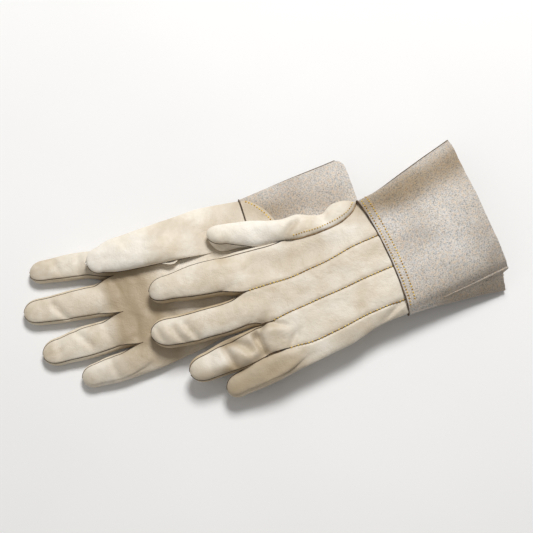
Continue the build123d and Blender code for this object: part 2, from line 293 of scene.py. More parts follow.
def face_patch(glove, index, top):
    """Grid of the upper or lower panel of strip index, from the wrist to the fingertip."""
    finger = glove.fingers[index]
    us = rows_of(finger)[:, None]
    t = spread(ACROSS)[None, :]
    high, low = strip_edge(glove, index, us), strip_edge(glove, index + 1, us)
    v = (high + low) / 2 + (high - low) / 2 * t
    u = np.broadcast_to(us, v.shape)
    heights = hand_profile(glove, u, v)
    hand = np.stack([u, v, heights[0] if top else heights[1]], -1)
    angle = t * np.where(t > 0, finger.upper_edge, finger.edge)
    if not top:
        angle = math.pi - t * finger.edge
    on_finger = finger.skin(np.broadcast_to(us - finger.root[0], v.shape), np.broadcast_to(angle, v.shape))
    share = finger_share(glove, index, u, t)[..., None]
    return hand * (1 - share) + on_finger * share


def side_patch(glove, index, way):
    """Grid down one side of strip index: a fourchette between fingers, or an outer wall."""
    finger = glove.fingers[index]
    outer = is_outer(index, way)
    boundary = boundary_of(index, way)
    us = rows_of(finger)
    if not outer:
        us = us[us >= glove.crotches[boundary] - 1e-6]
    us = us[:, None]
    columns = WALL_COLUMNS if outer else SIDE_COLUMNS
    q = np.linspace(0, 1, columns + 1)[None, :]
    shape = np.broadcast_shapes(us.shape, q.shape)
    u = np.broadcast_to(us, shape)
    if outer:
        centre, half = glove.breadth(us)
        angle = math.acos(RIM ** 2) * (1 - 2 * q)
        v = centre + way * half * power(np.cos(angle), 2 / HAND_SECTION)
        z = glove.middle + glove.thick / 2 * np.sin(angle)
    else:
        v = strip_edge(glove, boundary, us)
        top, bottom = hand_profile(glove, us, v)
        z = top + (bottom - top) * q
    hand = np.stack([u, np.broadcast_to(v, shape), np.broadcast_to(z, shape)], -1)
    start = finger.upper_edge if way > 0 else finger.edge
    angle = way * (start + q * (math.pi - finger.edge - start))
    on_finger = finger.skin(np.broadcast_to(us - finger.root[0], shape), np.broadcast_to(angle, shape))
    share = finger_share(glove, index, u, float(way))[..., None]
    return hand * (1 - share) + on_finger * share


# ---------------------------------------------------------------- creases and softness
def stroke(u, v, start, end, width):
    """Nearness (0 to 1) to a line from start to end in plan, fading at its ends."""
    du, dv = end[0] - start[0], end[1] - start[1]
    length = math.hypot(du, dv)
    along = ((u - start[0]) * du + (v - start[1]) * dv) / length
    across = ((u - start[0]) * -dv + (v - start[1]) * du) / length
    past = np.maximum(0, np.maximum(-along, along - length))
    return np.exp(-(across / width) ** 2 - (past / (width * 1.4)) ** 2)


def arc_share(v):
    """How much of the wrist seam's arc a place across the wrist has."""
    return np.clip(1 - (v / ARC_HALF) ** 2, 0, 1)


def soften(glove, points):
    """Lay the wrist seam's arc, the creases and the leather's unevenness into the skin."""
    u, v, z = points[..., 0].copy(), points[..., 1].copy(), points[..., 2].copy()
    upper = smooth((z - glove.middle) / (glove.thick * 0.38))
    lift = np.zeros_like(z)
    for start, end, depth, width in glove.creases:
        lift += -depth * stroke(u, v, start, end, width)
    lift += glove.unevenness * (0.62 * waves(u, v, 46, glove.seed) + 0.30 * waves(u, v, 21, glove.seed + 5))
    lift += glove.unevenness * 0.16 * waves(u, v, 10, glove.seed + 9) * smooth((u - 60) / 60)
    z = z + lift * upper
    v = v + 0.3 * waves(u, v * 0.3, 44, glove.seed + 2) * smooth((u - 10) / 20)
    u = u - glove.wrist_arc * arc_share(v) * (1 - smooth(u / 55))
    return np.stack([u, v, z], -1)


# ---------------------------------------------------------------- welded skins and panels
class Skin:
    """A welded surface made of grids, from which panels with thickness are cut."""

    def __init__(self):
        self.patches = []

    def add(self, points, names, group, outward):
        """Grid of world points; names gives each row of faces its panel; group shares its shading."""
        rows = points.shape[0] - 1
        names = [names] * rows if isinstance(names, str) else names
        self.patches.append((points, names, group, np.array(outward, float)))

    def weld(self):
        """Join equal points and face everything outwards."""
        points = np.concatenate([p[0].reshape(-1, 3) for p in self.patches])
        keys = np.round(points / (WELD * MM)).astype(np.int64)
        _, first, index = np.unique(keys, axis=0, return_index=True, return_inverse=True)
        self.points = points[first]
        index = index.reshape(-1)
        self.faces, self.names, self.groups = [], [], []
        start = 0
        for grid, names, group, outward in self.patches:
            rows, cols = grid.shape[:2]
            ids = index[start:start + rows * cols].reshape(rows, cols)
            start += rows * cols
            du = grid[1:, :-1] - grid[:-1, :-1]
            dv = grid[:-1, 1:] - grid[:-1, :-1]
            flip = np.cross(du, dv).reshape(-1, 3).sum(0) @ outward < 0
            for r in range(rows - 1):
                for c in range(cols - 1):
                    loop = [ids[r, c], ids[r + 1, c], ids[r + 1, c + 1], ids[r, c + 1]]
                    if flip:
                        loop.reverse()
                    clean = [i for k, i in enumerate(loop) if i != loop[k - 1]]
                    if len(clean) > 2:
                        self.faces.append([int(i) for i in clean])
                        self.names.append(names[r])
                        self.groups.append(group)
        self.normals = {g: self._normals(g) for g in set(self.groups)}

    def _normals(self, group):
        total = np.zeros_like(self.points)
        for face, g in zip(self.faces, self.groups):
            if g == group:
                p = self.points[face]
                n = np.cross(p[1] - p[0], p[2] - p[0])
                if len(face) == 4:
                    n = n + np.cross(p[2] - p[0], p[3] - p[0])
                total[face] += n
        size = np.linalg.norm(total, axis=1, keepdims=True)
        return total / np.where(size < 1e-15, 1, size)

    def panel(self, name, thickness):
        """Mesh object of the named panel, with an outer face, an inner face and cut edges."""
        chosen = [(f, g) for f, n, g in zip(self.faces, self.names, self.groups) if n == name]
        group = chosen[0][1]
        used = sorted({i for f, _ in chosen for i in f})
        place = {i: k for k, i in enumerate(used)}
        count = len(used)
        outer = self.points[used]
        normal = self.normals[group][used]
        inner = outer - normal * thickness * MM
        faces = [[place[i] for i in f] for f, _ in chosen]
        edges = {}
        for face in faces:
            for k, a in enumerate(face):
                edges[(face[k - 1], a)] = edges.get((face[k - 1], a), 0) + 1
        rim = [(a, b) for a, b in edges if (b, a) not in edges]
        all_faces = faces + [[i + count for i in reversed(f)] for f in faces]
        all_faces += [[b, a, a + count, b + count] for a, b in rim]
        obj = mesh_object(name, np.concatenate([outer, inner]), all_faces)
        corner_normals = []
        for number, polygon in enumerate(obj.data.polygons):
            for i in polygon.vertices:
                if number < len(faces):
                    corner_normals.append(tuple(normal[i]))
                elif number < 2 * len(faces):
                    corner_normals.append(tuple(-normal[i - count]))
                else:
                    corner_normals.append(tuple(polygon.normal))
        obj.data.normals_split_custom_set(corner_normals)
        return obj


def mesh_object(name, points, faces):
    """Mesh object of world points and faces."""
    mesh = bpy.data.meshes.new(name)
    mesh.from_pydata([tuple(p) for p in points], [], faces)
    return finished_object(name, mesh)


def finished_object(name, mesh):
    """Smooth-shaded object of a mesh, which remembers its resting place for its material."""
    mesh.polygons.foreach_set("use_smooth", [True] * len(mesh.polygons))
    mesh.update()
    remember_place(mesh)
    obj = bpy.data.objects.new(name, mesh)
    bpy.context.scene.collection.objects.link(obj)
    return obj


def remember_painted_shade(obj, glove, spots):
    """Store how much painted shade each vertex has, darkening that stands for shade and cast shadow; each
    spot is (start, end, strength, width) in plan.
    """
    co = np.array([v.co for v in obj.data.vertices])
    u, v = glove.plan((co[:, 0], co[:, 1]))
    tone = np.zeros(len(co))
    for start, end, strength, width in spots:
        tone += strength * stroke(u, v, start, end, width)
    values = obj.data.attributes.new("tone", "FLOAT", "POINT")
    values.data.foreach_set("value", np.clip(tone, 0, 1).astype(np.float32))


def remember_place(mesh):
    """Store each vertex's resting place, which the materials read."""
    place = mesh.attributes.new("resting_place", "FLOAT_VECTOR", "POINT")
    co = np.zeros(len(mesh.vertices) * 3, np.float32)
    mesh.vertices.foreach_get("co", co)
    place.data.foreach_set("vector", co)


def tube(name, line, radius, sides=6):
    """Closed round tube along a line of world points; radius may be one value per point, in millimetres."""
    line = np.asarray(line, float)
    radius = np.broadcast_to(np.asarray(radius, float) * MM, (len(line),))
    ahead = np.gradient(line, axis=0)
    ahead /= np.linalg.norm(ahead, axis=1, keepdims=True)
    across = np.cross(ahead, (0.0, 0.0, 1.0))
    across /= np.maximum(np.linalg.norm(across, axis=1, keepdims=True), 1e-9)
    up = np.cross(across, ahead)
    points, faces = tube_rings(line, radius, across, up, sides)
    return mesh_object(name, points, faces)


def tube_rings(line, radius, across, up, sides):
    """Points and faces of a closed tube."""
    angle = np.linspace(0, 2 * math.pi, sides, endpoint=False)
    ring = across[:, None] * np.cos(angle)[None, :, None] + up[:, None] * np.sin(angle)[None, :, None]
    points = (line[:, None] + ring * radius[:, None, None]).reshape(-1, 3)
    faces = []
    for r in range(len(line) - 1):
        for k in range(sides):
            a, b = r * sides + k, r * sides + (k + 1) % sides
            faces.append([a, b, b + sides, a + sides])
    last = (len(line) - 1) * sides
    faces.append(list(range(sides))[::-1])
    faces.append([last + k for k in range(sides)])
    return points, faces


def stitches(name, line, pitch, length, radius):
    """Row of single stitches along a line of world points: each a short bead that dips into the leather."""
    line = np.asarray(line, float)
    steps = np.linalg.norm(np.diff(line, axis=0), axis=1)
    travelled = np.concatenate([[0], np.cumsum(steps)])
    count = int(travelled[-1] / (pitch * MM))
    points, faces = [], []
    for k in range(count):
        middle = (k + 0.5) * travelled[-1] / count
        share = np.linspace(-1, 1, 5)
        at = middle + share * length * MM / 2
        bead = np.stack([np.interp(at, travelled, line[:, a]) for a in range(3)], -1)
        bead[:, 2] -= STITCH_SINK * MM * share**2 * 2
        ahead = bead[-1] - bead[0]
        ahead /= np.linalg.norm(ahead)
        across = np.cross(ahead, (0.0, 0.0, 1.0))
        across /= np.linalg.norm(across)
        up = np.cross(across, ahead)
        thick = radius * MM * np.sqrt(np.clip(1.04 - share**2, 0.05, 1))
        more, quads = tube_rings(bead, thick, np.repeat(across[None], 5, 0), np.repeat(up[None], 5, 0), 6)
        base = sum(len(p) for p in points)
        points.append(more)
        faces += [[i + base for i in f] for f in quads]
    return mesh_object(name, np.concatenate(points), faces)


# ---------------------------------------------------------------- the two gloves' shapes
left = Glove(
    "left", 5.5, 14.6, 15.6, back_up=True, seed=3, unevenness=0.55, wrist_arc=4.6,
    high_side=curve([(0, 57), (20, 54.5), (42, 52.5), (71, 51.5), (98, 52), (120, 55), (142, 58)]),
    low_side=curve([(0, -57.5), (25, -58), (57, -64), (85, -66.5), (108, -68), (140, -70)]),
    seams=[
        curve([(0, 18.6), (24, 17.6), (44, 14.4), (68, 12.5), (95, 12.4), (124, 14.6), (145, 15)]),
        curve([(0, -13.6), (24, -14.1), (52, -16), (80, -17), (101, -18.4), (114, -19.4), (135, -19)]),
        curve([(0, -46), (16, -45.5), (37, -46.3), (66, -49.4), (92, -50.5), (110, -48), (130, -48)]),
    ],
    crotches=[122, 124, 114, 110, 108],
    creases=[
        ((99.7, -37.7), (109, -46.5), 2.4, 2.6), ((115.9, -20.9), (107, -28.5), 2.2, 2.4),
        ((126, -19), (134, -29), 4.6, 3.2), ((134.5, -27), (132.5, -42), 5.6, 3.2),
        ((134, -45), (149, -48), 1.8, 3.0), ((160, -20), (145, -34), 4.4, 4.2),
        ((165, -23), (161, -46), 3.6, 3.4),
        ((178, -28), (183, -40), 1.4, 3.0), ((128, -25), (110, -31), -2.4, 5.5),
        ((153, -34), (148, -46), -2.2, 4.5), ((190, -36), (173, -44), -1.0, 6.0),
        ((211.2, -3.6), (213.4, 13.9), 1.7, 1.8),
        ((195, -7.3), (200.2, 8), 1.9, 2.4), ((180.9, -12.6), (188.1, 6.2), 2.0, 2.8),
        ((203, -6), (206, 9), -0.9, 2.4), ((188, -8), (193, 6), -0.8, 2.6),
        ((195.5, 45.8), (195.6, 38.5), 0.8, 2.6), ((23.2, -57.1), (7.7, -48.6), 2.4, 3.2),
        ((14, -57), (4, -52.6), -1.0, 2.6), ((107.3, 33.2), (41.1, 26.7), 2.2, 11.0),
        ((86, -63), (132, -60), 1.0, 7.0), ((150, -64), (168, -58), 1.2, 3.0),
        ((128, -26), (121, -14), 1.0, 3.0), ((118, -57), (140, -66), 0.8, 4.0),
    ],
)
right = Glove(
    "right", -0.5, 0.1, 13.7, back_up=False, seed=8, unevenness=0.6, wrist_arc=0.0,
    high_side=curve([(0, 56.8), (52, 57.5), (85, 53), (110, 50), (127, 49.5), (150, 48)]),
    low_side=curve([(0, -57), (35, -62), (71, -69.8), (100, -74.5), (125, -77.5), (145, -79)]),
    seams=[
        curve([(0, 24), (60, 20), (100, 18), (130, 17.8), (150, 18)]),
        curve([(0, -8), (60, -13), (100, -16), (130, -17.8), (150, -17.8)]),
        curve([(0, -38), (60, -44), (100, -49.5), (120, -50.9), (145, -51)]),
    ],
    crotches=[128, 130, 130, 120, 118],
    creases=[
        ((126, 16), (124, -50), 0.9, 6.0), ((60, -14), (62, -60), 1.1, 9.0),
        ((88, -30), (92, -72), 1.3, 4.0), ((112, 14), (109, -20), 0.8, 5.0),
        ((104, -22), (101, -50), 0.7, 5.0), ((189, 6), (180, -9), 2.0, 2.8),
        ((150, 16.3), (143.4, 5.6), 1.3, 3.0), ((131.6, 13.2), (129, 2.6), 1.2, 2.6),
        ((176, -24), (166, -40), 1.8, 3.0), ((150, -22), (146, -44), 1.0, 3.4),
        ((152, -55), (149, -76), 1.2, 3.0), ((192, -25), (194, -44), 0.9, 3.0),
        ((177, 38), (181, 50), 1.2, 2.8), ((160, 30), (157, 46), 1.0, 2.8),
        ((120, -28), (122, -44), 1.0, 3.0), ((80, 8), (70, -12), 1.0, 5.0),
    ],
)
left.fingers = [
    Finger(left, "index", 80.0, (35.5, 32.5, 25), 1.6, (16, 16, 15.4), 0.4, 6, upper_edge=70),
    Finger(left, "middle", 92.6, (30, 30, 29), -2.6, (16, 16, 15), 1.2, 8),
    Finger(left, "ring", 81.0, (29, 30, 25.5), 0.0, (16, 16, 14), 4.0, 16, 0.74),
    Finger(left, "little", 61.8, (23, 24, 21), 1.4, (15.5, 14.5, 13), 6.5, -4, 0.66),
]
right.fingers = [
    Finger(right, "index", 50.5, (25, 25, 22), 0.6, (13.4, 13, 12)),
    Finger(right, "middle", 81.6, (31.5, 29, 25), -1.0, (13.7, 13.6, 12.4), 0, 6),
    Finger(right, "ring", 73.6, (29.5, 30.5, 26), 0.0, (13.7, 13.6, 12.4), 0, 6),
    Finger(right, "little", 55.0, (24.5, 25, 21.5), 0.0, (13.7, 13.2, 12), 0, 6),
]
# The right index finger's hinge is half way along it; its root is at its crotch.
HINGE_BACK = 20.0
bent = right.fingers[0]
bent.root = (bent.root[0] - HINGE_BACK * math.cos(bent.heading),
             bent.root[1] - HINGE_BACK * math.sin(bent.heading))
bent.length += HINGE_BACK
bent.shoulder += HINGE_BACK


def under_thumb(points):
    """The right palm sinks under the thumb's leather, which lies on it."""
    u, v = points[..., 0], points[..., 1]
    edge = np.minimum(right.high_side(u), 60)
    inner = 15.5 + 0.8 * np.sin(u / 9.0)
    share = smooth((v - inner) / 3.0) * (1 - smooth((u - 46) / 14))
    wall = smooth((edge - v) / 1.5 + 1)
    out = points.copy()
    top = smooth((points[..., 2] - right.middle) / 4.0)
    out[..., 2] -= 2.4 * share * wall * top
    return out


def hand_skin(glove):
    """Weld one glove's hand and fingers and say which panel each part belongs to."""
    skin = Skin()
    side = glove.side
    palm = side + "_palm"
    sunk = (lambda points: points) if glove.back_up else under_thumb
    for index, name in enumerate(FINGERS):
        us = rows_of(glove.fingers[index])
        split = bend_range(glove, index)[0] - 1.0
        palm_names = [palm if u < split else f"{side}_{name}_palm" for u in us[:-1]]
        for top in (True, False):
            points = soften(glove, face_patch(glove, index, top))
            if top:
                points = sunk(points)
            back = f"{side}_{name}_back"
            names, group = (back, back) if top == glove.back_up else (palm_names, palm)
            skin.add(glove.place(points), names, group, UP if top else DOWN)
        for way, word in WAYS:
            points = soften(glove, side_patch(glove, index, way))
            names = group = f"{side}_{name}_fourchette_{word}"
            if is_outer(index, way):
                points = sunk(points)
                names, group = palm_names, palm
            outward = (way * -math.sin(glove.turn), way * math.cos(glove.turn), 0)
            skin.add(glove.place(points), names, group, outward)
    skin.weld()
    return skin


INDEX_HINGE = 152.5     # plan u of the right index finger's hinge, and half the length it bends over
INDEX_REACH = 13.0
BEND_LENGTH = 24.0      # length over which the other fingers bend


def bend_range(glove, index):
    """Plan distances where a finger starts to bend and has fully bent."""
    if glove is right and index == 0:
        return INDEX_HINGE - INDEX_REACH, INDEX_HINGE + INDEX_REACH
    start = max(glove.crotches[k] for k in (index, index + 1) if 0 < k < 4) + 1.0
    return start, start + BEND_LENGTH


def bend_finger(obj, glove, index):
    """Bake a finger piece's place into its mesh; where finger number index bends is worked out but not used.
    """
    finger = glove.fingers[index]
    start, end = (glove.spot(*finger.along(u - finger.root[0]), glove.middle)
                  for u in bend_range(glove, index))
    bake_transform(obj)


pieces = {}


def keep(obj, slot, nodes=()):
    """Remember a finished piece, its finish and the CAD nodes it stands for."""
    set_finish(obj, slot)
    if nodes:
        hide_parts(*nodes)
    pieces[obj.name] = obj
    return obj


def cut(skin, panel, name, slot, nodes, thickness=LEATHER):
    """Cut a panel from a skin and keep it under its own name."""
    obj = skin.panel(panel, thickness)
    obj.name = name
    return keep(obj, slot, nodes)


for glove in (left, right):
    side = glove.side
    skin = hand_skin(glove)
    palm = cut(skin, side + "_palm", side + "_palm_leather", "grain_leather", [side + "_palm"])
    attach(palm, side + "_hand")
    for index, name in enumerate(FINGERS):
        finger = f"{side}_{name}"
        for panel, nodes in ((finger + "_back", [finger + "_back", finger + "_back_strip"]),
                             (finger + "_palm", [finger + "_palm"])):
            bend_finger(cut(skin, panel, panel + "_leather", "grain_leather", nodes), glove, index)
        for _, word in WAYS:
            # Fourchettes take the darker leather copy that paints their shade.
            node = f"{finger}_fourchette_{word}"
            if node in frame["nodes"]:
                bend_finger(cut(skin, node, f"{finger}_{word}_gusset", "side_leather", [node]), glove, index)


# ---------------------------------------------------------------- thumbs
THUMB_ROWS = 46
THUMB_COLUMNS = 26


def thumb_body(pairs, tip):
    """Rows of a thumb's table, evened out along it and closed round at its tip."""
    table = np.array(pairs, float)
    middles = (table[:, 0:2] + table[:, 2:4]) / 2
    travel = np.concatenate([[0], np.cumsum(np.linalg.norm(np.diff(middles, axis=0), axis=1))])
    path = curve([(d, *row) for d, row in zip(travel, table)])
    body = path(np.linspace(0, travel[-1], THUMB_ROWS))
    last = body[-1]
    centre = (last[0:2] + last[2:4]) / 2
    half = (last[0:2] - last[2:4]) / 2
    level = (last[6] + last[7]) / 2
    for c in np.sin(np.linspace(0, math.pi / 2, TIP_ROWS))[1:]:
        row = last.copy()
        share = max(0.0, 1 - c**2.2) ** 0.5
        mid = centre + (np.array(tip) - centre) * c
        row[0:2], row[2:4] = mid + half * share, mid - half * share
        row[4:8] = level + (last[4:8] - level) * share
        row[8], row[9] = row[1], row[4]
        body = np.vstack([body, row])
    return body


def thumb_grids(glove, pairs, tip, inner_start):
    """Grids (outer, inner) of a thumb. A row of its table holds (u, v) of its left and of its right edge,
    the heights of both, of its crown and its bottom, and (v, z) where its inner panel meets the hand."""
    body = thumb_body(pairs, tip)
    t = (1 - np.cos(np.linspace(0, math.pi, THUMB_COLUMNS + 1)))[None, :] / 2
    bump = (1 - np.abs(2 * t - 1) ** 2.4) ** 0.5
    if glove is left:
        on_hand = 1 - smooth((body[:, 0] - 66) / 14)
        resting = hand_profile(glove, body[:, 0], body[:, 1])[0] + 0.5
        body[:, 4] = body[:, 4] * (1 - on_hand) + np.minimum(resting, body[:, 4]) * on_hand
        meeting = np.maximum(body[:, 1], glove.high_side(body[:, 0]))
        body[:, 8] = np.where(body[:, 0] < 90, meeting, body[:, 8])
    left_u, left_v, right_u, right_v, left_z, right_z, crown, bottom, meet_v, meet_z = body.T[:, :, None]
    u = left_u + (right_u - left_u) * t
    v = left_v + (right_v - left_v) * t
    rim = np.where(t < 0.5, left_z, right_z)
    outer = np.stack([u, v, rim + (crown - rim) * bump], -1)
    v = meet_v + (right_v - meet_v) * t
    if glove is left:
        # The free part of the left thumb bellies towards the hand.
        room = np.clip(left_v - glove.high_side(left_u[:, 0])[:, None] - 1.0, 0, 9.0)
        room = room * smooth((left_u - 96) / 14) * np.clip((right_v - left_v) / 18, 0, 1)
        v = v - room * np.sin(np.pi * np.clip(t / 0.5, 0, 1)) ** 0.8
    rim = np.where(t < 0.5, meet_z, right_z)
    inner = np.stack([u, v, rim - (rim - bottom) * bump], -1)
    return outer, inner[int(np.searchsorted(body[:, 2], inner_start)):]


LEFT_THUMB = [
    (1, 56.6, 1, 58.2, 25.5, 22.5, 26.5, 21.0, 57.4, 20.0),
    (8, 49.6, 12, 63.5, 30.7, 22.0, 30.9, 16.5, 54.0, 17.5),
    (20, 44.4, 24, 64.2, 30.9, 22.0, 31.6, 15.2, 51.4, 16.5),
    (31, 42.6, 35, 59.2, 30.9, 22.0, 31.6, 15.2, 49.4, 16.5),
    (42, 42.3, 45, 62.4, 30.9, 21.5, 31.8, 15.0, 47.0, 16.5),
    (56, 43.0, 56, 67.8, 30.8, 21.5, 32.4, 15.0, 47.0, 16.5),
    (70, 45.2, 72, 68.6, 30.4, 21.5, 32.8, 15.0, 48.4, 17.5),
    (80, 48.8, 84, 72.4, 26.6, 21.5, 32.4, 15.0, 49.6, 19.5),
    (90, 50.4, 91, 75.8, 23.8, 21.5, 31.6, 15.0, 50.4, 21.5),
    (98, 51.4, 98, 78.6, 23.2, 21.5, 30.8, 15.0, 51.4, 22.5),
    (112, 57.6, 115, 83.4, 24.6, 21.5, 29.8, 15.0, 57.6, 24.0),
    (126, 65.8, 127, 86.4, 24.4, 21.0, 29.0, 15.2, 65.8, 23.8),
]
RIGHT_THUMB = [
    (1, 16.5, 1, 58.2, 13.2, 7.5, 13.9, 6.0, 54.0, 7.0),
    (20, 14.0, 25, 60.0, 13.4, 9.0, 14.4, 5.0, 55.5, 7.0),
    (40, 13.3, 44, 60.2, 14.6, 11.0, 15.2, 7.0, 55.0, 9.0),
    (54, 13.6, 60, 57.6, 16.6, 13.4, 20.5, 12.4, 50.0, 13.6),
    (70, 14.3, 76, 55.4, 18.2, 16.2, 25.0, 14.3, 14.3, 18.0),
    (88, 15.2, 94, 53.0, 19.0, 18.4, 27.4, 14.4, 15.2, 18.8),
    (106, 16.2, 111, 51.4, 19.4, 19.0, 27.6, 14.5, 16.2, 19.4),
    (128, 18.6, 129, 49.6, 19.4, 19.2, 26.2, 14.5, 18.6, 19.4),
    (138, 21.5, 139, 46.0, 19.2, 19.2, 24.8, 14.6, 21.5, 19.2),
]
THUMB_CREASES = {
    "left": [
        ((76.4, 48.2), (62.4, 58.8), 2.8, 2.8), ((86, 52), (97, 60), 0.8, 4.0),
        ((56, 47), (46, 58), 0.7, 4.0), ((38, 50), (28, 57), 0.9, 3.4),
        ((36, 52), (33, 62), 1.4, 3.0), ((66, 62), (84, 66), -0.6, 6.0),
    ],
    "right": [
        ((81.5, 18), (88.7, 12), 1.0, 2.6), ((51.4, 43), (38.2, 31.6), 1.6, 5.5),
        ((66, 20), (58, 36), 0.9, 4.0), ((72, 40), (64, 54), 1.6, 2.8),
        ((80, 36), (72, 50), 1.0, 2.4), ((90, 30), (84, 44), -0.7, 4.0),
        ((100, 22), (97, 36), 0.8, 3.6), ((118, 48), (113, 38), 0.7, 3.0),
    ],
}
THUMB_BENDS = {left: ((50, 54), (76, 60)), right: ((40, 36), (66, 35))}


def bend_thumb(obj, glove):
    """Bake a thumb piece's place into its mesh; where the thumb bends is worked out but not used."""
    start, end = (glove.spot(u, v, glove.middle) for u, v in THUMB_BENDS[glove])
    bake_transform(obj)


def make_thumb(glove, pairs, tip, inner_start):
    """Make a thumb's outer and inner panel; returns the outer grid in plan."""
    side = glove.side
    outer, inner = thumb_grids(glove, pairs, tip, inner_start)
    inside = np.sin(np.linspace(0, math.pi, THUMB_COLUMNS + 1))[None, :] ** 0.5
    skin = Skin()
    for grid, sign, part, outward in ((outer, 1.0, "outer", UP), (inner, -0.4, "inner", DOWN)):
        u, v = grid[..., 0], grid[..., 1]
        lift = 0.5 * waves(u, v, 34, glove.seed + 20) + 0.25 * waves(u, v, 15, glove.seed + 23)
        for start, end, depth, width in THUMB_CREASES[side]:
            lift = lift - depth * stroke(u, v, start, end, width)
        grid[..., 2] += sign * lift * inside * smooth((u - 2) / 20) * 0.9
        skin.add(glove.place(grid), f"{side}_thumb_{part}", part, outward)
    skin.weld()
    for part in ("outer", "inner"):
        node = f"{side}_thumb_{part}"
        bend_thumb(cut(skin, node, node + "_leather", "grain_leather", [node]), glove)
    return outer


left_thumb = make_thumb(left, LEFT_THUMB, (139.5, 78.6), 0)
right_thumb = make_thumb(right, RIGHT_THUMB, (150.5, 33.0), 46)


# ---------------------------------------------------------------- gauntlets
CUFF_ROWS = 54
CUFF_COLUMNS = 72
CUFF_LENGTH = 103.0
CUFF_FOLD = ((-4.0, 0.0, 22.0), (-30.0, 0.0, 22.0))     # where the left cuff starts and stops folding
FLOOR_GAP = 0.15        # least height of a cuff's skin above the floor


class Gauntlet:
    """Flared cuff whose section changes from the wrist's to the mouth's.

    A section is a list of (v, z) from the thumb side; flare says how far it has changed along the cuff, and
    corner how far the mouth runs short of the cuff's length at v.
    """

    def __init__(self, glove, wrist_top, wrist_bottom, mouth_top, mouth_bottom, flare, corner):
        self.glove = glove
        self.flare = curve(flare)
        self.corner = corner
        self.top = [self.section(wrist_top), self.section(mouth_top)]
        self.bottom = [self.section(wrist_bottom), self.section(mouth_bottom)]

    @staticmethod
    def section(places):
        """Smooth section through places that are evenly numbered from 0 to 1."""
        return curve([(k, *place) for k, place in zip(np.linspace(0, 1, len(places)), places)])

    def grid(self, top):
        """Grid (u, v, z) of the upper or lower panel, from the wrist to the mouth."""
        pair = self.top if top else self.bottom
        m = np.linspace(0, 1, CUFF_ROWS)[:, None]
        q = np.linspace(0, 1, CUFF_COLUMNS + 1)
        share = self.flare(m[:, 0])[:, None, None]
        vz = pair[0](q)[None] * (1 - share) + pair[1](q)[None] * share
        v, z = vz[..., 0], vz[..., 1]
        inside = np.sin(np.pi * q)[None, :] ** 0.5
        seed = self.glove.seed + (40 if top else 50)
        along = m * CUFF_LENGTH
        uneven = 0.9 * waves(along, v, 60, seed) + 0.3 * waves(along, v, 22, seed + 3)
        z = z + (1 if top else 0.4) * inside * smooth(m * 4) * uneven
        z = np.maximum(z, FLOOR_GAP)
        arc = self.glove.wrist_arc * arc_share(v) * (1 - smooth(m * 1.4))
        nibble = 0.16 * waves(v, z, 7, seed + 6) * smooth(m * 8 - 7)
        u = -along - arc + nibble + self.corner(v) * smooth(m * 3 - 2)
        return np.stack([np.broadcast_to(u, v.shape), v, z], -1)


def left_mouth(v):
    """How far the left cuff's mouth runs short of (+) or past (-) its length at plan place v."""
    bulge = 4.2 * np.clip(1 - ((v - 10) / 66) ** 2, 0, 1)
    return 2.0 - 4.4 * (v + 60) / 140 + 6.0 * smooth((-53.0 - v) / 2.0) + bulge


def right_mouth(v):
    """The same for the right cuff, whose corners are rounded back."""
    return -2.5 + 7.0 * np.clip((v - 60) / 13.5, 0, 1) ** 2.6 + 6.0 * np.clip((-54 - v) / 12, 0, 1) ** 2.4


left_cuff = Gauntlet(
    left,
    [(57.5, 22.4), (56.3, 28.2), (44, 30.1), (26, 30.3), (8, 30.3), (-12, 30.3), (-32, 30.2), (-50, 29.2),
     (-57.5, 22.4)],
    [(57.5, 22.4), (56.3, 16.4), (44, 14.9), (15, 14.7), (-20, 14.7), (-44, 14.8), (-56.5, 16.6),
     (-58.2, 19.8), (-57.5, 22.4)],
    [(84.0, 20), (74.5, 26.0), (57, 32.2), (37, 38.8), (15, 42.6), (-8, 41.6), (-28, 37.4), (-45, 30.2),
     (-52.0, 22)],
    [(84.0, 20), (77, 9.5), (53, 2.6), (15, 1.0), (-30, 0.6), (-57, 0.8), (-66.5, 3.0), (-62.5, 10),
     (-52.0, 22)],
    [(0, 0), (0.17, 0.10), (0.49, 0.44), (1, 1)],
    left_mouth,
)
right_cuff = Gauntlet(
    right,
    [(58.4, 6.4), (57.2, 10.8), (43, 12.0), (22, 12.2), (0, 12.2), (-22, 12.2), (-42, 12.0), (-55.6, 10.8),
     (-56.8, 6.4)],
    [(58.4, 6.4), (57.2, 1.6), (43, 0.4), (0, 0.2), (-42, 0.4), (-55.6, 1.6), (-56.8, 6.4)],
    [(73.5, 5.0), (69, 8.4), (52, 10.8), (28, 11.6), (0, 12.0), (-24, 11.6), (-46, 10.4), (-61.5, 8.2),
     (-66, 5.0)],
    [(73.5, 5.0), (68, 1.6), (48, 0.4), (0, 0.2), (-44, 0.4), (-61.5, 1.6), (-66, 5.0)],
    [(0, 0), (0.15, 0.2), (0.4, 0.48), (0.7, 0.76), (1, 1)],
    right_mouth,
)


def surface_height(grid, u, v):
    """Height of a cuff's upper or lower panel at plan places u, v."""
    mean_u = grid[..., 0].mean(1)
    order = np.argsort(mean_u)
    core = slice(3, -3)
    out = []
    for a, b in np.broadcast(u, v):
        k = int(np.clip(np.searchsorted(mean_u[order], a), 1, len(order) - 1))
        lo, hi = order[k - 1], order[k]
        share = np.clip((a - mean_u[lo]) / (mean_u[hi] - mean_u[lo]), 0, 1)
        near, far = (np.interp(b, grid[row, core, 1][::-1], grid[row, core, 2][::-1]) for row in (lo, hi))
        out.append(near * (1 - share) + far * share)
    return np.array(out).reshape(np.broadcast(u, v).shape)


def follow_cuff(obj, glove):
    """Bake a piece on the left cuff into its mesh, with the ends of its fold worked out but not used; hang a
    piece on the right cuff on the right hand.
    """
    if glove is left:
        start, end = (left.spot(*place) for place in CUFF_FOLD)
        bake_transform(obj)
    else:
        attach(obj, "right_hand")


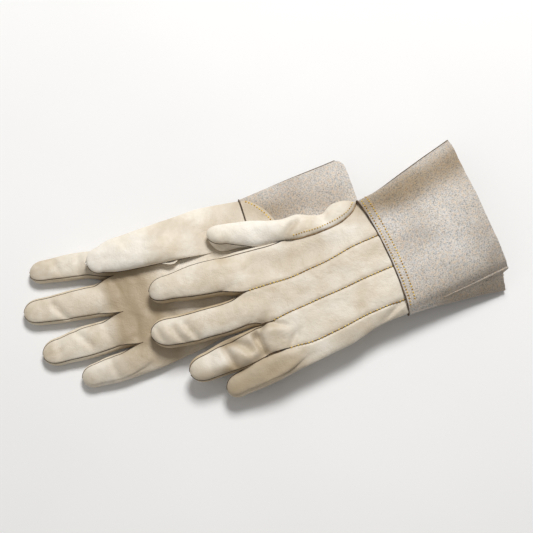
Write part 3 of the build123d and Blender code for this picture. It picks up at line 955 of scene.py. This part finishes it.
cuff_grids = {}
for glove, cuff in ((left, left_cuff), (right, right_cuff)):
    skin = Skin()
    for top in (True, False):
        points = cuff_grids[glove.side, top] = cuff.grid(top)
        word = "back" if top == glove.back_up else "palm"
        skin.add(glove.place(points), f"{glove.side}_gauntlet_{word}", word, UP if top else DOWN)
    skin.weld()
    for word in ("back", "palm"):
        node = f"{glove.side}_gauntlet_{word}"
        follow_cuff(cut(skin, node, node + "_suede", "split_suede", [node], SUEDE), glove)


# ---------------------------------------------------------------- welts, patches and thread
WELT_RADIUS = 0.62
WELT_GAP = 0.2          # how far the wrist welt stands off the leather
PATCH_REACH = 30.0      # how far a half-moon patch reaches over the gauntlet
PATCH_LEATHER = 1.0     # its thickness
PATCH_LIFT = 1.05       # height of its outer face and of its thread above the upper suede
PATCH_SINK = 0.25       # depth of the left patch's outer face below the lower suede
PATCH_INSET = 2.4       # distance of its thread from its edge
HAND_STITCH = (3.2, 1.8, 0.56)      # pitch, length and radius of the stitches on the back seams,
CUFF_STITCH = (2.8, 1.7, 0.72)      # of the two rows across the left cuff,
PATCH_STITCH = (2.9, 1.9, 0.85)     # round the right patch
HEM_STITCH = (2.5, 1.5, 0.56)       # and along the left thumb's hem
CUFF_OFFSETS = (2.8, 8.2)           # distances of the left cuff's rows from the wrist seam


def wrist_ring(glove, cuff):
    """Line of world points round the wrist seam, standing off the leather."""
    ring = np.concatenate([cuff.grid(True)[0], cuff.grid(False)[0][::-1][1:]])
    v, height = ring[:, 1].copy(), ring[:, 2] - glove.middle
    ring[:, 0] += 0.2
    ring[:, 1] += np.sign(v) * WELT_GAP * np.clip((np.abs(v) - 50) / 7, 0, 1)
    ring[:, 2] += np.sign(height) * WELT_GAP * np.clip(np.abs(height) / 4, 0, 1)
    ring[:, 2] = np.maximum(ring[:, 2], 0.7)
    return glove.place(ring)


for glove, cuff in ((left, left_cuff), (right, right_cuff)):
    welt = tube(glove.side + "_wrist_welt", wrist_ring(glove, cuff), WELT_RADIUS, 8)
    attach(keep(welt, "welt_leather", [glove.side + "_welt"]), glove.side + "_hand")


def patch_edge(v):
    """How far a half-moon patch reaches over the gauntlet at plan place v."""
    return PATCH_REACH * (1 - np.clip(np.abs(v) / 57.0, 0, 1) ** 2) ** 0.6


for glove, top in ((right, True), (left, False)):
    vs = np.linspace(55.8, -55.8, 61)[None, :]
    s = np.linspace(0, 1, 15)[:, None]
    u = -patch_edge(vs) * s - 0.6 - glove.wrist_arc * arc_share(vs) * (1 - s) * 0.9
    v = np.broadcast_to(vs, u.shape)
    limit = np.clip((57 - np.abs(v)) / 5, 0, 1)
    z = surface_height(cuff_grids[glove.side, top], u, v) + (PATCH_LIFT if top else -PATCH_SINK)
    z = z + (-1 if top else 1) * 1.2 * (1 - limit) ** 2
    if not top:
        z = np.maximum(z, 0.3)
    node = glove.side + "_vein_patch"
    skin = Skin()
    skin.add(glove.world(u, v, z), node, "patch", UP if top else DOWN)
    skin.weld()
    patch = cut(skin, node, glove.side + "_patch_leather", "grain_leather", [node], PATCH_LEATHER)
    follow_cuff(patch, glove)


def seam_line(glove, number, above):
    """World points along a back seam of the hand, from the wrist to its crotch and no further."""
    us = np.linspace(0.6, glove.crotches[number] + 1.0, 90)
    vs = glove.seams[number - 1](us)
    top, bottom = hand_profile(glove, us, vs)
    points = soften(glove, np.stack([us, vs, top if glove.back_up else bottom], -1)[None])[0]
    points[:, 2] += above if glove.back_up else -above
    return glove.place(points)


# Dark cords along the back seams, in their grooves; their darkness partly paints the shade in the grooves
# and partly is the seams' own dark edge.
for glove in (left, right):
    hand = glove.side + "_hand"
    for number in (1, 2, 3):
        cord = tube(f"{glove.side}_back_seam_{number}", seam_line(glove, number, 0.10), BACK_CORD)
        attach(keep(cord, "welt_leather"), hand)
        if glove is left:
            row = stitches(f"left_back_seam_thread_{number}", seam_line(left, number, 0.78), *HAND_STITCH)
            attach(keep(row, "thread"), hand)


def cuff_row(offset):
    """Line of world points across the left cuff at a distance from the wrist seam."""
    vs = np.linspace(54.5, -55, 140)
    us = np.full_like(vs, -offset)
    stretch = 1 + 0.012 * offset * np.sign(vs) * (np.abs(vs) / 57) ** 3
    z = surface_height(cuff_grids["left", True], us, vs * stretch)
    edge = np.clip((np.abs(vs) - 50) / 6, 0, 1)
    return left.world(us - left.wrist_arc * arc_share(vs) * 0.94, vs * stretch, z + 0.4 - 0.4 * edge)


def join(objects, name):
    """One mesh object made of several."""
    built = bmesh.new()
    for obj in objects:
        built.from_mesh(obj.data)
        bpy.data.objects.remove(obj)
    mesh = bpy.data.meshes.new(name)
    built.to_mesh(mesh)
    built.free()
    return finished_object(name, mesh)


rows = [stitches(f"row_{k}", cuff_row(offset), *CUFF_STITCH) for k, offset in enumerate(CUFF_OFFSETS)]
follow_cuff(keep(join(rows, "left_gauntlet_thread"), "thread", ["left_gauntlet_stitching"]), left)

patch_v = np.linspace(54.6, -54.6, 150)
patch_u = -patch_edge(patch_v) + PATCH_INSET
patch_z = surface_height(cuff_grids["right", True], patch_u, patch_v) + PATCH_LIFT
row = stitches("right_patch_thread", right.world(patch_u, patch_v, patch_z), *PATCH_STITCH)
follow_cuff(keep(row, "thread", ["right_patch_stitching"]), right)

# Each cuff's side seam: a dark line along its thumb-side edge.
for glove, radius in ((left, 0.5), (right, 0.45)):
    edge = cuff_grids[glove.side, True][:, 0] + (0, 0.15, 0)
    cord = tube(glove.side + "_gauntlet_side_seam", glove.place(edge), radius)
    follow_cuff(keep(cord, "welt_leather"), glove)

# The fold along the left cuff's other edge stands out a little towards the mouth.
edge = cuff_grids["left", True][18:, -1] - (0, 0, 0.2)
radius = 0.35 + 0.85 * np.linspace(0, 1, len(edge)) ** 0.5
follow_cuff(keep(tube("left_gauntlet_fold_edge", left.place(edge), radius, 8), "split_suede"), left)

# The left thumb's folded edge: a brown tube, whose colour partly paints the shade along the fold and partly
# is the edge's own brown.
fold = left_thumb[:, 0]
hem = tube("left_thumb_folded_edge", left.place(fold[fold[:, 0] < 73] - (0, 0, 0.1)), 0.75)
bend_thumb(keep(hem, "welt_leather"), left)


def inside_edge(grid, distance):
    """Points of a thumb's outer grid at a distance in plan from its inner edge."""
    out = []
    for row in grid:
        travel = np.concatenate([[0], np.cumsum(np.linalg.norm(np.diff(row, axis=0), axis=1))])
        out.append([np.interp(distance, travel, row[:, k]) for k in range(3)])
    return np.array(out)


# Its row of topstitching.
hemline = inside_edge(left_thumb, 4.6)
hemline = hemline[(hemline[:, 0] > 4) & (hemline[:, 0] < 70)] + (0, 0, 0.35)
row = stitches("left_thumb_hem_thread", left.place(hemline), *HEM_STITCH)
bend_thumb(keep(row, "thread"), left)

# The seam along each thumb, beyond the part that lies on the hand.
for glove, grid, start, radius in ((left, left_thumb, 92, 0.5), (right, right_thumb, 56, 0.42)):
    fold = grid[:, 0]
    cord = tube(glove.side + "_thumb_seam", glove.place(fold[fold[:, 0] > start][:-1]), radius)
    bend_thumb(keep(cord, "welt_leather"), glove)


def finger_seam(glove, index, way, word, face, radius):
    """Lay a dark cord along one seam of a finger, on its back or palm face, from its crotch to its tip."""
    finger = glove.fingers[index]
    boundary = boundary_of(index, way)
    us = rows_of(finger)
    us = us[us >= glove.crotches[boundary] - (OUTER_RUN if is_outer(index, way) else 0)]
    v_edge = strip_edge(glove, boundary, us)
    top, bottom = hand_profile(glove, us, v_edge)
    angle = way * (finger.upper_edge if way > 0 else finger.edge)
    height = top
    if (face == "back") != glove.back_up:
        angle = math.pi - way * finger.edge
        height = bottom
    hand = np.stack([us, v_edge, height], -1)
    on_finger = finger.skin(us - finger.root[0], np.full_like(us, angle))
    share = finger_share(glove, index, us, np.float64(way))[..., None]
    points = soften(glove, (hand * (1 - share) + on_finger * share)[None])[0]
    cord = tube(f"{glove.side}_{finger.name}_{word}_{face}_seam", glove.place(points)[:-1], radius)
    bend_finger(keep(cord, "welt_leather"), glove, index)


# Dark cords along the finger seams; their darkness too partly paints the shade in the seams.
for glove in (left, right):
    for index in range(len(FINGERS)):
        for way, word in WAYS:
            outer = is_outer(index, way)
            # The little finger's outer edge is a fold without a seam.
            if not (outer and index == 3):
                finger_seam(glove, index, way, word, "back", FINGER_CORD)
            if not outer:
                finger_seam(glove, index, way, word, "palm", PALM_CORD)


# ---------------------------------------------------------------- finishes
class Finish:
    """Builds a procedural material from nodes that read a piece's resting place."""

    def __init__(self, name, roughness, **sockets):
        self.material = bpy.data.materials.new(name)
        self.material.use_nodes = True
        self.tree = self.material.node_tree
        self.shader = self.tree.nodes["Principled BSDF"]
        self.fill(self.shader, Roughness=roughness, **sockets)
        self.place = self.stored("resting_place").outputs["Vector"]

    def put(self, socket, value):
        """Link a socket to another one, or set its number or colour."""
        if isinstance(value, bpy.types.NodeSocket):
            self.tree.links.new(value, socket)
        elif isinstance(value, tuple):
            socket.default_value = (*value, 1.0)
        else:
            socket.default_value = value

    def fill(self, node, **inputs):
        """Fill a node's inputs by their names, with _ for a blank."""
        for key, value in inputs.items():
            self.put(node.inputs[key.replace("_", " ")], value)
        return node

    def node(self, kind, **inputs):
        """New shader node with its inputs filled."""
        return self.fill(self.tree.nodes.new("ShaderNode" + kind), **inputs)

    def stored(self, name):
        """Node that reads what is stored on the vertices under a name."""
        node = self.node("Attribute")
        node.attribute_name = name
        return node

    def tone(self):
        """The painted shade stored on the vertices: how much they darken to stand for shade and cast shadow.
        """
        return self.stored("tone").outputs["Fac"]

    def noise(self, scale, detail=3.0, rough=0.5, distortion=0.0):
        """Noise value; scale is in features per metre."""
        node = self.node("TexNoise", Vector=self.place, Scale=scale, Detail=detail, Roughness=rough,
                         Distortion=distortion)
        return node.outputs["Fac"]

    def cells(self, scale):
        """Distance to the nearest cell's centre."""
        return self.node("TexVoronoi", Vector=self.place, Scale=scale).outputs["Distance"]

    def ramp(self, value, *stops):
        """Colour of a value; each stop is (position, colour)."""
        node = self.node("ValToRGB", Fac=value)
        elements = node.color_ramp.elements
        while len(elements) < len(stops):
            elements.new(0.5)
        for element, (position, colour) in zip(elements, stops):
            element.position = position
            element.color = (*colour, 1.0)
        return node.outputs["Color"]

    def mix(self, factor, a, b, kind="MIX"):
        """Colour mix of a and b; each is a socket, a colour or a number."""
        node = self.node("Mix")
        node.data_type = "RGBA"
        node.blend_type = kind
        for key, value in ((0, factor), (6, a), (7, b)):
            self.put(node.inputs[key], value)
        return node.outputs[2]

    def add(self, a, b, weight):
        """Value a + b * weight."""
        node = self.node("Math")
        node.operation = "MULTIPLY_ADD"
        for key, value in enumerate((b, weight, a)):
            self.put(node.inputs[key], value)
        return node.outputs[0]

    def colour(self, socket):
        """Use a socket as the base colour."""
        self.fill(self.shader, Base_Color=socket)

    def rough(self, value, low, high):
        """Let roughness follow a value between low and high."""
        node = self.node("MapRange", Value=value, To_Min=low, To_Max=high)
        self.fill(self.shader, Roughness=node.outputs["Result"])

    def bump(self, height, distance, strength=1.0):
        """Raise the surface by a height, in metres at height 1."""
        node = self.node("Bump", Height=height, Distance=distance, Strength=strength)
        self.fill(self.shader, Normal=node.outputs["Normal"])


def srgb(*display):
    """Linear colour from 0-255 display values, none of them nearly black."""
    return tuple(((c / 255 + 0.055) / 1.055) ** 2.4 for c in display)


# Darker tans that the painted shade mixes in, on the leather and on the suede.
LEATHER_PAINTED_SHADE = srgb(172, 154, 126)
SUEDE_PAINTED_SHADE = srgb(146, 128, 100)


def leather_finish(name, light, base, stain, roughness):
    """Smooth grain leather: soft blotches, faint creases and fine pores."""
    f = Finish(name, roughness, Specular_IOR_Level=0.35, Sheen_Weight=0.08)
    blotch = f.ramp(f.noise(26, 4, 0.55, 0.4), (0.30, stain), (0.52, base), (0.74, light))
    fine = f.ramp(f.noise(160, 5, 0.6), (0.3, (0.93, 0.915, 0.89)), (0.7, (1.0, 1.0, 1.0)))
    # Painted shade: darken towards a tan where the vertices store it.
    blotch = f.mix(f.tone(), blotch, LEATHER_PAINTED_SHADE)
    f.colour(f.mix(1.0, blotch, fine, "MULTIPLY"))
    f.rough(f.noise(60, 3), roughness - 0.08, roughness + 0.10)
    grain = f.add(f.noise(520, 4, 0.6), f.cells(900), 0.6)
    grain = f.add(grain, f.noise(110, 4, 0.55, 1.2), 2.2)
    grain = f.add(grain, f.noise(42, 3, 0.5, 1.8), 3.2)
    f.bump(grain, 0.00022, 0.8)
    return f.material


def suede_finish(name):
    """Grey-tan split leather with a speckled nap."""
    f = Finish(name, 0.92, Specular_IOR_Level=0.15, Sheen_Weight=0.25, Sheen_Roughness=0.5)
    broad = f.ramp(f.noise(19, 4, 0.5, 0.5),
                   (0.32, srgb(195, 188, 180)), (0.52, srgb(212, 208, 202)), (0.72, srgb(227, 225, 222)))
    # Painted shade: darken towards a tan-grey where the vertices store it.
    broad = f.mix(f.tone(), broad, SUEDE_PAINTED_SHADE)
    speck = f.ramp(f.noise(860, 3, 0.75),
                   (0.33, (0.46, 0.42, 0.38)), (0.47, (0.91, 0.89, 0.87)), (0.66, (1.15, 1.13, 1.11)))
    tint = f.ramp(f.noise(430, 3, 0.6),
                  (0.36, (0.86, 0.90, 0.96)), (0.5, (1.0, 1.0, 1.0)), (0.66, (1.06, 0.95, 0.84)))
    f.colour(f.mix(1.0, f.mix(1.0, broad, speck, "MULTIPLY"), tint, "MULTIPLY"))
    nap = f.add(f.noise(900, 4, 0.7), f.noise(260, 4, 0.6), 0.9)
    f.bump(nap, 0.00035, 1.0)
    return f.material


def cord_finish(name, dark, light, roughness, scale):
    """Thread or welt leather with a little variation along it."""
    f = Finish(name, roughness, Specular_IOR_Level=0.3)
    f.colour(f.ramp(f.noise(scale, 2, 0.5), (0.42, dark), (0.58, light)))
    f.bump(f.noise(scale * 3, 2), 0.0001, 0.6)
    return f.material


cream = leather_finish("grain_leather", srgb(243, 237, 227), srgb(226, 216, 199), srgb(207, 192, 168), 0.48)
# Painted light: a lighter copy of the grain leather for both thumbs, standing for the light on their tops
# and lifting their shaded inner panels.
brightened_thumbs = leather_finish("thumb_leather", srgb(248, 244, 236), srgb(240, 232, 218), srgb(224, 211, 190), 0.48)
# Painted shade: darker copies of the grain leather for the fourchettes, standing for the shade on these
# sides turned from the light; the right glove's copy is a little less dark.
sides = leather_finish("side_leather", srgb(216, 202, 178), srgb(200, 182, 152), srgb(176, 155, 124), 0.62)
lightly_shaded_sides = leather_finish("pale_side_leather", srgb(236, 226, 208), srgb(222, 210, 188),
                            srgb(198, 182, 154), 0.6)
FINISHES = {
    "grain_leather": cream,
    "side_leather": sides,
    "split_suede": suede_finish("split_suede"),
    # Dark cords of the welt and seams; along the sewn seams their darkness partly paints the shade in the
    # seam grooves.
    "welt_leather": cord_finish("welt_leather", srgb(58, 48, 40), srgb(104, 84, 62), 0.6, 240),
    "thread": cord_finish("thread", srgb(176, 132, 46), srgb(248, 214, 104), 0.7, 330),
}
# Brown of the thumb's folded edge, partly painted shade along the fold.
hem_brown = cord_finish("hem_leather", srgb(132, 104, 72), srgb(176, 146, 108), 0.6, 240)

# Painted shade and shadow: places darkened where shade falls, on the right palm under the thumb and the left
# glove, in creases and hollows, on sides turned from the light and in bands along the cuffs; start, end,
# strength and width in plan.
PAINTED_SHADE_SPOTS = {
    "left": [
        ((107, 33), (48, 27), 0.30, 10), ((118, -62), (170, -62), 0.85, 12), ((60, -58), (10, -53), 0.28, 6),
        ((140, -50), (168, -46), 0.3, 5), ((60, 0), (100, -6), 0.22, 34), ((150, -4), (196, 2), 0.16, 10),
        ((75, 47), (63, 57), 0.5, 4), ((124, -20), (165, -21), 0.45, 6), ((135, -28), (133, -44), 0.4, 4),
        ((158, -22), (143, -35), 0.5, 6), ((164, -26), (161, -44), 0.4, 4), ((170, -44), (192, -40), 0.2, 6),
        ((200, 40), (206, 44), 0.25, 8), ((190, -44), (160, -46), 0.35, 6), ((-8, 50), (-110, 62), 0.75, 15),
        ((-20, -50), (-104, -50), 0.35, 16), ((-104, -66), (-40, -60), 0.4, 8),
        ((-30, 40), (-90, 44), 0.3, 10),
    ],
    "right": [
        ((118, 18), (121, -38), 1.0, 23), ((134, 12), (138, -6), 0.35, 8), ((134, -24), (138, -44), 0.3, 8),
        ((96, -30), (92, -64), 0.6, 16), ((186, 34), (200, 44), 0.12, 10), ((126, -66), (174, -70), 0.32, 9),
        ((-2, 46), (-26, 36), 0.5, 13), ((128, 12), (150, 24), 0.35, 8), ((-30, 40), (-80, 34), 0.2, 14),
        ((112, 22), (94, 28), 0.14, 10),
    ],
    "right_thumb": [
        ((0, 50), (26, 30), 0.5, 17), ((44, 28), (62, 46), 0.25, 8), ((84, 40), (70, 52), 0.2, 6),
    ],
}


def finish_of(name, slot):
    """Material of a piece; a few pieces differ from the rest of their slot."""
    if name == "left_thumb_folded_edge":
        return hem_brown
    # The right glove's fourchettes take the less dark of the two copies that paint shade.
    if name.startswith("right") and name.endswith("gusset"):
        return lightly_shaded_sides
    # Both thumbs take the lighter copy that paints their light.
    if name.endswith(("thumb_outer_leather", "thumb_inner_leather")):
        return brightened_thumbs
    return FINISHES[slot]


for name, obj in pieces.items():
    obj.data.materials.clear()
    obj.data.materials.append(finish_of(name, obj["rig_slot"]))
    glove = left if name.startswith("left") else right
    remember_painted_shade(obj, glove, PAINTED_SHADE_SPOTS["right_thumb" if "right_thumb" in name else glove.side])

# ---------------------------------------------------------------- floor, light and camera
bpy.ops.mesh.primitive_plane_add(size=6, location=(0, 0, -0.0002))
floor = bpy.context.object
floor.name = "floor"
floor_finish = Finish("floor", 0.9)
shades = (0.3, (0.86, 0.86, 0.86)), (0.7, (0.9, 0.9, 0.9))
floor_finish.colour(floor_finish.ramp(floor_finish.noise(3), *shades))
floor.data.materials.append(floor_finish.material)
remember_place(floor.data)

STUDIO_LIGHT = (1.0, 0.985, 0.96, 1.0)
STUDIO_STRENGTH = 0.27
world = bpy.data.worlds.new("studio")
bpy.context.scene.world = world
world.use_nodes = True
background = world.node_tree.nodes["Background"]
background.inputs["Color"].default_value = STUDIO_LIGHT
background.inputs["Strength"].default_value = STUDIO_STRENGTH


def area_light(name, place, size, power_watts, colour):
    """Square soft light aimed at the gloves."""
    data = bpy.data.lights.new(name, "AREA")
    data.size = size
    data.energy = power_watts
    data.color = colour
    obj = bpy.data.objects.new(name, data)
    obj.location = place
    obj.rotation_euler = (-Vector(place)).to_track_quat("-Z", "Y").to_euler()
    bpy.context.scene.collection.objects.link(obj)


area_light("key", (0.62, 1.12, 1.8), 0.75, 43.0, (1.0, 0.992, 0.98))
area_light("fill", (-0.9, -0.3, 0.9), 1.2, 1.2, (1.0, 0.99, 0.98))

AZIMUTH = math.radians(-17)
ELEVATION = math.radians(70)
DISTANCE = 1.144
LENS = 85.0
SENSOR = 36.0
camera_data = bpy.data.cameras.new("camera")
camera_data.lens = LENS
camera_data.sensor_width = SENSOR
camera = bpy.data.objects.new("camera", camera_data)
bpy.context.scene.collection.objects.link(camera)
target = Vector((0.0055, 0.0115, 0.015))
level = math.cos(ELEVATION)
toward = Vector((math.sin(AZIMUTH) * level, -math.cos(AZIMUTH) * level, math.sin(ELEVATION)))
camera.location = target + toward * DISTANCE
camera.rotation_euler = toward.to_track_quat("Z", "Y").to_euler()
bpy.context.scene.camera = camera
bpy.context.scene.view_settings.view_transform = "Standard"
